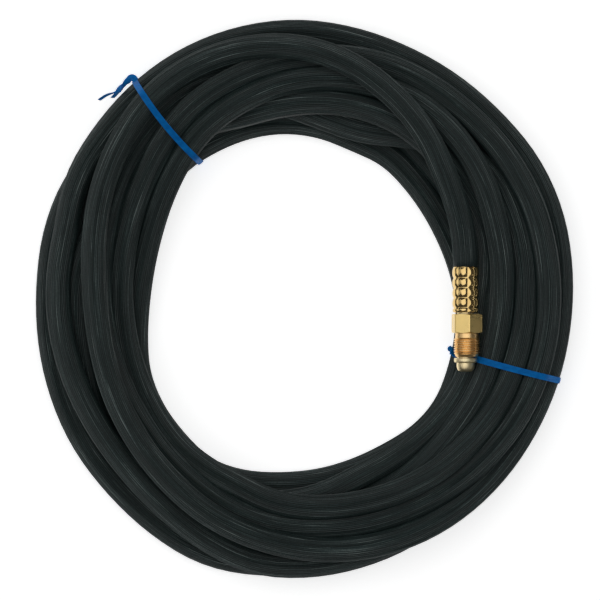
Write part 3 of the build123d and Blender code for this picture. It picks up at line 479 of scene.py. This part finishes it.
def build_hose():
    pts = hose_line()
    n, seg = len(pts), 84
    t = np.gradient(pts, axis=0)
    t /= np.linalg.norm(t, axis=1)[:, None]
    s = np.concatenate([[0], np.cumsum(np.linalg.norm(np.diff(pts, axis=0), axis=1))])
    length = float(s[-1])
    nrm = np.zeros_like(pts)
    v = np.array([0.0, 0.0, -1.0])
    for i in range(n):                    # frame carried along without twist
        v = v - t[i] * (v @ t[i])
        v /= np.linalg.norm(v)
        nrm[i] = v
    bi = np.cross(t, nrm)
    twist = 0.9 * np.sin(s * 1.7) + 0.5 * np.sin(s * 4.1 + 1.0) + 1.1 * s
    ang = 2 * math.pi * np.arange(seg) / seg
    rib = np.where(np.arange(seg) % 2 == 0, 1.0, -1.0)
    height = 0.125 + 0.075 * smooth_noise(n, seg, 16)
    r = HOSE_R - 0.09 + rib[None, :] * height + 0.05 * smooth_noise(n, seg, 40)
    fade = np.clip(s / 0.004, 0, 1)[:, None] * np.clip((length - s) / 0.004, 0, 1)[:, None]
    r = (HOSE_R - 0.25) + (r - (HOSE_R - 0.25)) * fade
    a = ang[None, :] + twist[:, None]
    verts = pts[:, None, :] + (nrm[:, None, :] * np.cos(a)[:, :, None] + bi[:, None, :] * np.sin(a)[:, :, None]) * (r * MM)[:, :, None]
    verts = verts.reshape(-1, 3)
    i = np.arange(n - 1)[:, None] * seg
    j = np.arange(seg)[None, :]
    k = (j + 1) % seg
    quads = np.stack([i + j, i + k, i + seg + k, i + seg + j], -1).reshape(-1, 4)
    faces = [tuple(q) for q in quads.tolist()]
    faces.append(tuple(range(seg - 1, -1, -1)))
    faces.append(tuple(range((n - 1) * seg, n * seg)))
    me = bpy.data.meshes.new("hose")
    me.from_pydata(verts.tolist(), [], faces)
    me.materials.append(MAT["rubber"])
    me.polygons.foreach_set("use_smooth", np.ones(len(me.polygons), bool))
    uv = me.uv_layers.new(name="hose")
    u0 = np.broadcast_to(s[:-1, None], (n - 1, seg)).ravel()
    u1 = np.broadcast_to(s[1:, None], (n - 1, seg)).ravel()
    v0 = np.broadcast_to(np.arange(seg)[None, :] / seg, (n - 1, seg)).ravel()
    v1 = v0 + 1.0 / seg
    co = np.zeros((len(me.loops), 2), np.float32)
    q = len(quads)
    co[: 4 * q] = np.stack([np.stack([u0, v0], 1), np.stack([u0, v1], 1), np.stack([u1, v1], 1), np.stack([u1, v0], 1)], 1).reshape(-1, 2)
    co[4 * q :, 0] = 0.0
    uv.data.foreach_set("uv", co.ravel())
    # every lengthwise edge is a crease between two ribs' flanks
    ev = np.zeros(len(me.edges) * 2, np.int32)
    me.edges.foreach_get("vertices", ev)
    ev = ev.reshape(-1, 2)
    sharp = (ev[:, 0] // seg) != (ev[:, 1] // seg)
    at = me.attributes.get("sharp_edge") or me.attributes.new("sharp_edge", "BOOLEAN", "EDGE")
    at.data.foreach_set("value", sharp)
    me.update()
    ob = bpy.data.objects.new("hose", me)
    bpy.context.scene.collection.objects.link(ob)
    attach(ob, "coil")
    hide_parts("hose_coil", "hose_tail")
    return ob, pts, length, verts.reshape(n, seg, 3)


hose, hose_pts, hose_length, hose_verts = build_hose()
print("hose length", round(hose_length, 4), "rings", len(hose_pts))


# ------------------------------------------------------------------- fittings
FERRULE_L = 27.5
CRIMP_ROWS = [(0.15, 6.55, 1.0), (6.85, 12.6, 1.0), (12.8, 18.7, 1.0), (18.9, 24.7, 1.0), (24.95, 27.6, 0.85)]


def ferrule_mesh(place, phase, name, body):
    """Shell swaged by eight jaws: rows of small cushions with creases."""
    top, crease = 8.18, 7.27
    creases = phase

    def outer(z):
        def f(th):
            a = (th - creases) / (math.pi / 4)
            a = 2 * (a - np.floor(a)) - 1          # -1..1 across a column
            col = 1 - np.abs(a) ** 2.3
            # creases wander a little from column to column
            cidx = np.floor((th - creases) / (math.pi / 4))
            shift = 0.30 * np.sin(cidx * 2.4 + 0.7) + 0.20 * np.sin(th - creases + 1.0)
            zz = z + shift
            h = np.zeros_like(th)
            dimple = np.zeros_like(th)
            for lo, hi, amp in CRIMP_ROWS:
                b = (2 * zz - lo - hi) / (hi - lo)
                row = np.where(np.abs(b) < 1, 1 - np.abs(b) ** 2.2, 0.0)
                h = np.maximum(h, amp * row * col)
                dimple += np.exp(-((a / 0.42) ** 2 + (b / 0.45) ** 2))
            return crease + (top - crease) * (0.04 + 0.96 * h) - 0.13 * dimple

        return f

    st = [(7.05, 0.55), (7.35, 0.12), (7.45, 0.0), (7.55, 0.0)]
    zs = np.linspace(0.18, 27.25, 128)
    st += [(outer(z), z) for z in zs]
    st += [(7.3, 27.48), (7.0, 27.5), (5.15, 27.5), (5.12, 27.4), (5.12, 25.0), (7.0, 24.95)]
    v, f, m = turned(st, 128)
    ob = make_object(name, place(v), f, ["brass_bright"], body, sharp=48)
    return ob


def machine_nipple_mesh():
    L = FERRULE_L
    c0 = 54.99
    prof = [(4.0, 3.0, 0.1)]
    z = 3.6
    while z + 3.4 < L - 5.5:
        prof += [(4.35, z, 0.0), (4.35, z + 2.2, 0.15), (3.9, z + 2.4, 0.1), (4.35, z + 3.4, 0.1)]
        z += 3.4
    prof += [(4.35, 23.4, 0.0), (6.0, 23.4, 0.2), (6.0, 24.98, 0.1), (5.08, 24.98, 0.0),
             (5.08, c0, 0.15), (6.62, c0, 0.35), (6.9, c0 + 0.35, 0.3), (6.9, c0 + 2.25, 0.3), (6.5, c0 + 2.75, 0.25),
             (5.35, c0 + 2.9, 0.25), (5.42, c0 + 5.0, 1.0), (5.1, c0 + 6.6, 0.8), (4.35, c0 + 7.7, 0.6), (3.4, c0 + 8.2, 0.4), (2.75, c0 + 8.3, 0.2),
             (2.5, c0 + 7.7, 0.1), (2.5, 26.5, 0.2), (3.55, 25.8, 0.2), (3.55, 3.0, 0.1)]
    v, f, m = turned(softened(prof), 112)
    ob = make_object("machine_nipple_turned", machine_place(v), f, ["brass_nose"], "coil", sharp=35)
    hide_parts("machine_nipple")
    return ob


def smooth_thread(ob, index):
    """No creases inside the thread, whose flanks are smooth."""
    bm = bmesh.new()
    bm.from_mesh(ob.data)
    for e in bm.edges:
        if all(f.material_index == index for f in e.link_faces):
            e.smooth = True
    bm.to_mesh(ob.data)
    bm.free()


def machine_nut_mesh():
    z0, z1 = 28.4, 39.9
    t0, tl, rt = 43.6, 8.8, 7.9375
    pitch, depth = 25.4 / 18, 0.80
    n = 144
    hexr = hex_radius(17.0, HEX_PHASE)
    rc = 17.0 / math.sqrt(3)

    def hex_at(z):
        d = min(z - z0, z1 - z)
        cone = rc - 1.25 + d * 1.75

        def f(th):
            return soft_min(hexr(th), np.full_like(th, cone), 0.25)

        return f

    def thread_at(z):
        def f(th):
            ph = (z / pitch - th / (2 * math.pi)) % 1.0
            t = 1 - np.abs(2 * ph - 1)                    # 0 root, 1 crest
            prof = np.clip(1.72 * t - 0.20, 0, 1)
            fade = min(1.0, max(0.0, (z - (t0 - 0.9)) / 0.9))
            r = rt - depth + depth * prof
            lim = rt + 0.02 - max(0.0, z - (t0 + tl - 0.7)) * 0.52
            r = soft_min(r, np.full_like(th, lim), 0.10)
            return r * fade + 7.1 * (1 - fade)

        return f

    st = [(6.1, z0 + 0.35, 0), (6.4, z0, 0), (7.6, z0, 0)]
    st += [(hex_at(z), z, 0) for z in list(z0 + np.linspace(0.0, 1.3, 9)) + list(np.linspace(z0 + 2.2, z1 - 2.2, 4)) + list(z1 - np.linspace(1.3, 0.0, 9))]
    st += [(7.6, z1, 0), (7.25, z1 + 0.05, 0), (7.0, z1 + 0.25, 0), (7.0, z1 + 0.9, 1), (7.05, z1 + 1.6, 1), (7.08, z1 + 2.3, 1)]
    st += [(thread_at(z), z, 1) for z in np.arange(z1 + 2.6, t0 + tl + 1.9, 0.088)]
    ze = t0 + tl + 1.9
    st += [(6.55, ze + 0.02, 1), (6.35, ze - 0.02, 0), (6.1, ze - 0.3, 0)]
    v, f, m = turned(st, n, HEX_PHASE)
    v[:, 0] += NUT_SAG
    ob = make_object("machine_nut_threaded", machine_place(v), f, ["brass_satin", "brass_thread"], "machine_nut", mat_index=m, sharp=24)
    smooth_thread(ob, 1)
    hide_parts("machine_swivel_nut")
    return ob


def torch_nipple_mesh():
    L = FERRULE_L
    c0 = 32.1
    prof = [(4.0, 3.0, 0.1)]
    z = 3.6
    while z + 3.4 < L - 5.5:
        prof += [(4.35, z, 0.0), (4.35, z + 2.2, 0.15), (3.9, z + 2.4, 0.1), (4.35, z + 3.4, 0.1)]
        z += 3.4
    prof += [(4.35, 23.4, 0.0), (6.0, 23.4, 0.2), (6.0, 24.98, 0.1), (5.08, 24.98, 0.0), (5.08, L + 0.6, 0.2), (3.3, L + 0.6, 0.2),
             (3.3, c0, 0.1), (4.08, c0, 0.2), (4.08, c0 + 1.6, 0.25), (2.6, c0 + 3.55, 0.4), (2.1, c0 + 3.9, 0.2),
             (1.6, c0 + 3.5, 0.1), (1.6, 26.5, 0.2), (3.55, 25.8, 0.2), (3.55, 3.0, 0.1)]
    v, f, m = turned(softened(prof), 96)
    ob = make_object("torch_nipple_turned", torch_place(v), f, ["brass_nose"], "coil", sharp=35)
    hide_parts("torch_nipple")
    return ob


def torch_nut_mesh():
    z0, z1, c0 = 29.2, 44.2, 32.1
    pitch, depth = 25.4 / 24, 0.58
    hexr = hex_radius(14.3, 0.0)
    rc = 14.3 / math.sqrt(3)

    def hex_at(z):
        d = min(z - z0, z1 - z)
        cone = rc - 1.1 + d * 1.75

        def f(th):
            return soft_min(hexr(th), np.full_like(th, cone), 0.25)

        return f

    def thread_at(z):
        def f(th):
            ph = (z / pitch - th / (2 * math.pi)) % 1.0
            t = 1 - np.abs(2 * ph - 1)
            lead = max(0.0, z - (z1 - 0.8)) * 0.9
            return 4.52 + depth * np.clip(1.28 * t - 0.14, 0, 1) + lead

        return f

    st = [(3.7, z0 + 0.3), (3.95, z0), (6.4, z0)]
    st += [(hex_at(z), z) for z in list(z0 + np.linspace(0.0, 1.2, 8)) + list(np.linspace(z0 + 2.2, z1 - 2.2, 4)) + list(z1 - np.linspace(1.2, 0.0, 8))]
    st += [(6.4, z1), (5.9, z1)]
    st += [(thread_at(z), z) for z in np.arange(z1 - 0.1, c0 - 0.3, -0.1)]
    st += [(4.5, c0 - 0.45), (3.7, c0 - 0.5)]
    v, f, m = turned(st, 120)
    ob = make_object("torch_nut_threaded", torch_place(v), f, ["brass_satin"], "torch_nut", sharp=24)
    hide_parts("torch_swivel_nut")
    return ob


machine_ferrule = ferrule_mesh(machine_place, math.radians(80.5), "machine_ferrule_crimped", "coil")
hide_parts("machine_ferrule")
torch_ferrule = ferrule_mesh(torch_place, math.radians(12.0), "torch_ferrule_crimped", "coil")
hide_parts("torch_ferrule")
machine_nipple = machine_nipple_mesh()
machine_nut = machine_nut_mesh()
torch_nipple = torch_nipple_mesh()
torch_nut = torch_nut_mesh()


# ----------------------------------------------------------------- twist ties
TIE_W = 3.8


def hull2(pts):
    pts = sorted(map(tuple, pts))

    def half(seq):
        out = []
        for p in seq:
            while len(out) > 1 and (out[-1][0] - out[-2][0]) * (p[1] - out[-2][1]) - (out[-1][1] - out[-2][1]) * (p[0] - out[-2][0]) <= 0:
                out.pop()
            out.append(p)
        return out[:-1]

    return np.array(half(pts) + half(pts[::-1]))


def resample(path, step, closed):
    path = np.asarray(path, float)
    if closed:
        path = np.vstack([path, path[:1]])
    s = np.concatenate([[0], np.cumsum(np.linalg.norm(np.diff(path, axis=0), axis=1))])
    n = max(8, int(round(s[-1] / step)))
    q = np.linspace(0, s[-1], n, endpoint=not closed)
    return np.stack([np.interp(q, s, path[:, k]) for k in range(path.shape[1])], 1)


def ease(path, rounds, closed, weight=0.5):
    for _ in range(rounds):
        if closed:
            path = path + weight * ((np.roll(path, 1, 0) + np.roll(path, -1, 0)) / 2 - path)
        else:
            mid = path.copy()
            mid[1:-1] = path[1:-1] + weight * ((path[:-2] + path[2:]) / 2 - path[1:-1])
            path = mid
    return path


def ribbon_section(w, thin, wire):
    """Flat plastic ribbon with the wire's ridge down the middle of both
    faces: (across, out) points, mm, walked once round."""
    xs = np.array([-1.0, -0.93, -0.6, -0.28, -0.18, -0.09, 0.0, 0.09, 0.18, 0.28, 0.6, 0.93, 1.0]) * w / 2
    ridge = np.sqrt(np.maximum(0, 1 - (xs / (wire * 0.95)) ** 2)) * wire
    half = thin / 2 * np.clip((1 - (np.abs(xs) / (w / 2)) ** 10), 0.35, 1)
    up = np.maximum(half, ridge)
    top = [(x, u) for x, u in zip(xs, up)]
    bot = [(x, -u) for x, u in zip(xs[::-1], up[::-1])]
    return np.array(top + bot)


def sweep_ribbon(name, path, outward, closed, body="coil", w=TIE_W, thin=0.42, wire=0.42, taper=None, replaces=()):
    path, outward = np.asarray(path, float), np.asarray(outward, float)
    n = len(path)
    if closed:
        t = np.roll(path, -1, 0) - np.roll(path, 1, 0)
    else:
        t = np.gradient(path, axis=0)
    t /= np.linalg.norm(t, axis=1)[:, None]
    o = outward - t * np.sum(outward * t, axis=1)[:, None]
    o /= np.linalg.norm(o, axis=1)[:, None]
    a = np.cross(t, o)
    sec = ribbon_section(w, thin, wire)
    k = len(sec)
    sc = np.ones(n) if taper is None else np.asarray(taper)
    verts = path[:, None, :] + a[:, None, :] * (sec[None, :, 0] * sc[:, None])[:, :, None] + o[:, None, :] * sec[None, :, 1, None]
    verts = verts.reshape(-1, 3)
    faces = []
    for i in range(n if closed else n - 1):
        j = (i + 1) % n
        for q in range(k):
            r = (q + 1) % k
            faces.append((i * k + q, i * k + r, j * k + r, j * k + q))
    if not closed:
        faces.append(tuple(range(k - 1, -1, -1)))
        faces.append(tuple(range((n - 1) * k, n * k)))
    ob = make_object(name, verts, faces, ["blue_plastic"], body, sharp=50)
    if replaces:
        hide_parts(*replaces)
    return ob


def tie_ring(name, p, q, bow, replaces, gap=0.62):
    """Closed ribbon pulled round the bundle from p to q (mm, floor plan)."""
    p, q = np.array(p, float), np.array(q, float)
    e = (q - p) / np.linalg.norm(q - p)
    nrm = np.array([-e[1], e[0]])
    span = np.linalg.norm(q - p)
    near = np.hypot(*(hose_pts[:, :2] / MM - (p + q) / 2).T) < span * 0.5 + 35
    v = []
    for i in np.nonzero(near[:-1] & near[1:])[0]:
        a, b = hose_verts[i] / MM, hose_verts[i + 1] / MM
        v += [a + (b - a) * g for g in np.linspace(0, 1, 9)]
    v = np.concatenate(v)
    d = (v[:, :2] - p)
    u = d @ e
    side = d @ nrm
    f = np.clip(u / span, 0, 1)
    want = bow * 4 * f * (1 - f)
    keep = (u > -18) & (u < span + 18) & (np.abs(side - want) < TIE_W / 2 + 0.6)
    h = hull2(np.stack([u[keep], v[keep, 2]], 1))
    # step out from the hull by the ribbon's half thickness
    h = resample(h, 1.2, True)
    t = np.roll(h, -1, 0) - np.roll(h, 1, 0)
    t /= np.linalg.norm(t, axis=1)[:, None]
    out = np.stack([t[:, 1], -t[:, 0]], 1)
    ring = h + out * gap
    ring[:, 1] = np.maximum(ring[:, 1], 0.75)
    ring = ease(resample(ring, 0.9, True), 3, True)
    ring[:, 1] = np.maximum(ring[:, 1], 0.60)
    t = np.roll(ring, -1, 0) - np.roll(ring, 1, 0)
    t /= np.linalg.norm(t, axis=1)[:, None]
    out = np.stack([t[:, 1], -t[:, 0]], 1)
    f = np.clip(ring[:, 0] / span, 0, 1)
    above = np.clip((ring[:, 1] - 6) / 12, 0, 1)
    off = bow * 4 * f * (1 - f) * above
    xy = p + e * ring[:, :1] + nrm * off[:, None]
    path = np.column_stack([xy, ring[:, 1]])
    o3 = np.column_stack([out[:, :1] * e[None, :], out[:, 1]])
    ob = sweep_ribbon(name, path, o3, True, replaces=replaces)
    return ob, path


def twisted_pair(name, path, turns, ends, facing, w0=3.8, w1=3.4, lean=0.0, spread=0.55):
    """Two ribbon ends wound round each other along path, then each along its
    own free end."""
    path = ease(resample(path, 0.6, False), 6, False)
    n = len(path)
    t = np.gradient(path, axis=0)
    t /= np.linalg.norm(t, axis=1)[:, None]
    a = np.zeros_like(t)
    v = np.cross(t[0], (0, 0, 1.0))
    for i in range(n):
        v = v - t[i] * (v @ t[i])
        v /= np.linalg.norm(v)
        a[i] = v
    b = np.cross(a, t)
    f = np.linspace(0, 1, n)
    made = []
    for k, end in enumerate(ends):
        ang = lean + 2 * math.pi * turns * f + math.pi * k
        off = a * np.cos(ang)[:, None] + b * np.sin(ang)[:, None]
        line = path + off * spread
        tail = ease(resample(np.vstack([line[-1:], np.array(end, float)]), 0.6, False), 8, False)
        whole = np.vstack([line, tail[1:]])
        whole = ease(whole, 4, False)
        flat = np.array(facing[k], float)
        o = np.vstack([off, np.repeat(flat[None], len(tail) - 1, 0)])
        o = ease(o, 40, False, 0.9)
        m = len(whole)
        g = np.linspace(0, 1, m)
        made.append(sweep_ribbon(f"{name}_{'ab'[k]}", whole, o, False, w=w0, taper=1 + (w1 / w0 - 1) * g))
    return made


REAR_P, REAR_Q = (WX - 60.80, WY + 83.13), (WX - 102.12, WY + 133.95)
FRONT_P, FRONT_Q = (WX + 89.84, WY - 29.95), (WX + 155.18, WY - 47.55)
rear_ring, rear_path = tie_ring("rear_tie_band", REAR_P, REAR_Q, 2.4, ["rear_tie_ribbon", "rear_tie_wire"])
front_ring, front_path = tie_ring("front_tie_band", FRONT_P, FRONT_Q, -0.6, ["front_tie_ribbon", "front_tie_wire"])


def at(x, y, z):
    """Point in mm, measured from the winding's centre."""
    return (WX + x, WY + y, z)


rear_twist = twisted_pair(
    "rear_tie_end",
    [at(-101.16, 133.70, 35.5), at(-102.24, 136.00, 36.0), at(-104.06, 135.64, 34.0), at(-106.48, 133.22, 30.0), at(-109.14, 130.32, 25.0), at(-111.20, 128.32, 21.0)],
    0.8,
    [[at(-114.04, 126.87, 17.5), at(-116.89, 126.20, 15.5), at(-119.67, 124.99, 14.0), at(-123.48, 122.39, 12.0)],
     [at(-113.13, 125.96, 16.0), at(-115.37, 123.78, 13.0)]],
    [(0.62, -0.55, 0.56), (0.45, -0.60, 0.66)],
    w0=3.8, w1=3.2, lean=0.9, spread=0.75)
front_twist = twisted_pair(
    "front_tie_end",
    [at(93.41, -33.15, 22.6), at(92.20, -32.19, 23.0), at(90.87, -30.61, 23.4), at(89.54, -29.04, 25.0), at(89.18, -28.43, 28.0), at(89.12, -28.31, 31.5)],
    1.6,
    [[at(89.06, -28.07, 33.4), at(88.94, -27.59, 34.2)], [at(89.18, -28.43, 33.0), at(89.30, -29.04, 33.8)]],
    [(0.2, 0.2, 1), (-0.2, -0.2, 1)],
    w0=3.1, w1=2.7, lean=1.2, spread=0.55)


# --------------------------------------------- CAD nodes that stay as they are
for nm, ob in NODES.items():
    if ob.hide_render:
        continue
    key = "tie_wire" if "wire" in nm else "textile" if "braid" in nm else "copper" if ("copper" in nm or "crimp" in nm) else "inner_rubber"
    ob.data.materials.clear()
    ob.data.materials.append(MAT[key])


# --------------------------------------------------------- floor, light, view
def grid_floor():
    k, half = 12, 4.0
    xs = np.linspace(-half, half, k)
    verts = [(x, y, -0.0002) for y in xs for x in xs]
    faces = [(j * k + i, j * k + i + 1, (j + 1) * k + i + 1, (j + 1) * k + i) for j in range(k - 1) for i in range(k - 1)]
    me = bpy.data.meshes.new("floor")
    me.from_pydata(verts, [], faces)
    me.materials.append(floor_material())
    ob = bpy.data.objects.new("floor", me)
    bpy.context.scene.collection.objects.link(ob)


grid_floor()


def area_light(name, loc, target, size, watts, colour=(1, 1, 1)):
    li = bpy.data.lights.new(name, "AREA")
    li.shape = "RECTANGLE"
    li.size, li.size_y = size
    li.energy = watts
    li.color = colour
    ob = bpy.data.objects.new(name, li)
    ob.location = loc
    ob.rotation_mode = "QUATERNION"
    ob.rotation_quaternion = (Vector(target) - Vector(loc)).to_track_quat("-Z", "Y")
    bpy.context.scene.collection.objects.link(ob)


area_light("key", (-0.50, 0.30, 3.1), (-0.40, 0.10, 0), (4.6, 3.6), 54)
area_light("side", (-3.4, 0.6, 1.8), (0, 0, 0), (2.2, 2.0), 8)
area_light("fill", (3.0, -0.9, 1.7), (0, 0, 0), (0.8, 0.8), 0.9)

world = bpy.data.worlds.new("studio")
world.use_nodes = True
world.node_tree.nodes["Background"].inputs[0].default_value = (0.95, 0.98, 1.0, 1)
world.node_tree.nodes["Background"].inputs[1].default_value = 0.055
bpy.context.scene.world = world
bpy.context.scene.view_settings.view_transform = "Standard"
bpy.context.scene.view_settings.look = "None"

cam_data = bpy.data.cameras.new("view")
cam_data.lens = 1000
cam_data.sensor_width = 36
cam_data.clip_start, cam_data.clip_end = 0.1, 60
cam = bpy.data.objects.new("view", cam_data)
cam.location = ((WX - 1.815) * MM, (WY + 1.21) * MM, 0.025 + 0.363 * 1000 / 36)
cam.rotation_euler = (0, 0, 0)
bpy.context.scene.collection.objects.link(cam)
bpy.context.scene.camera = cam
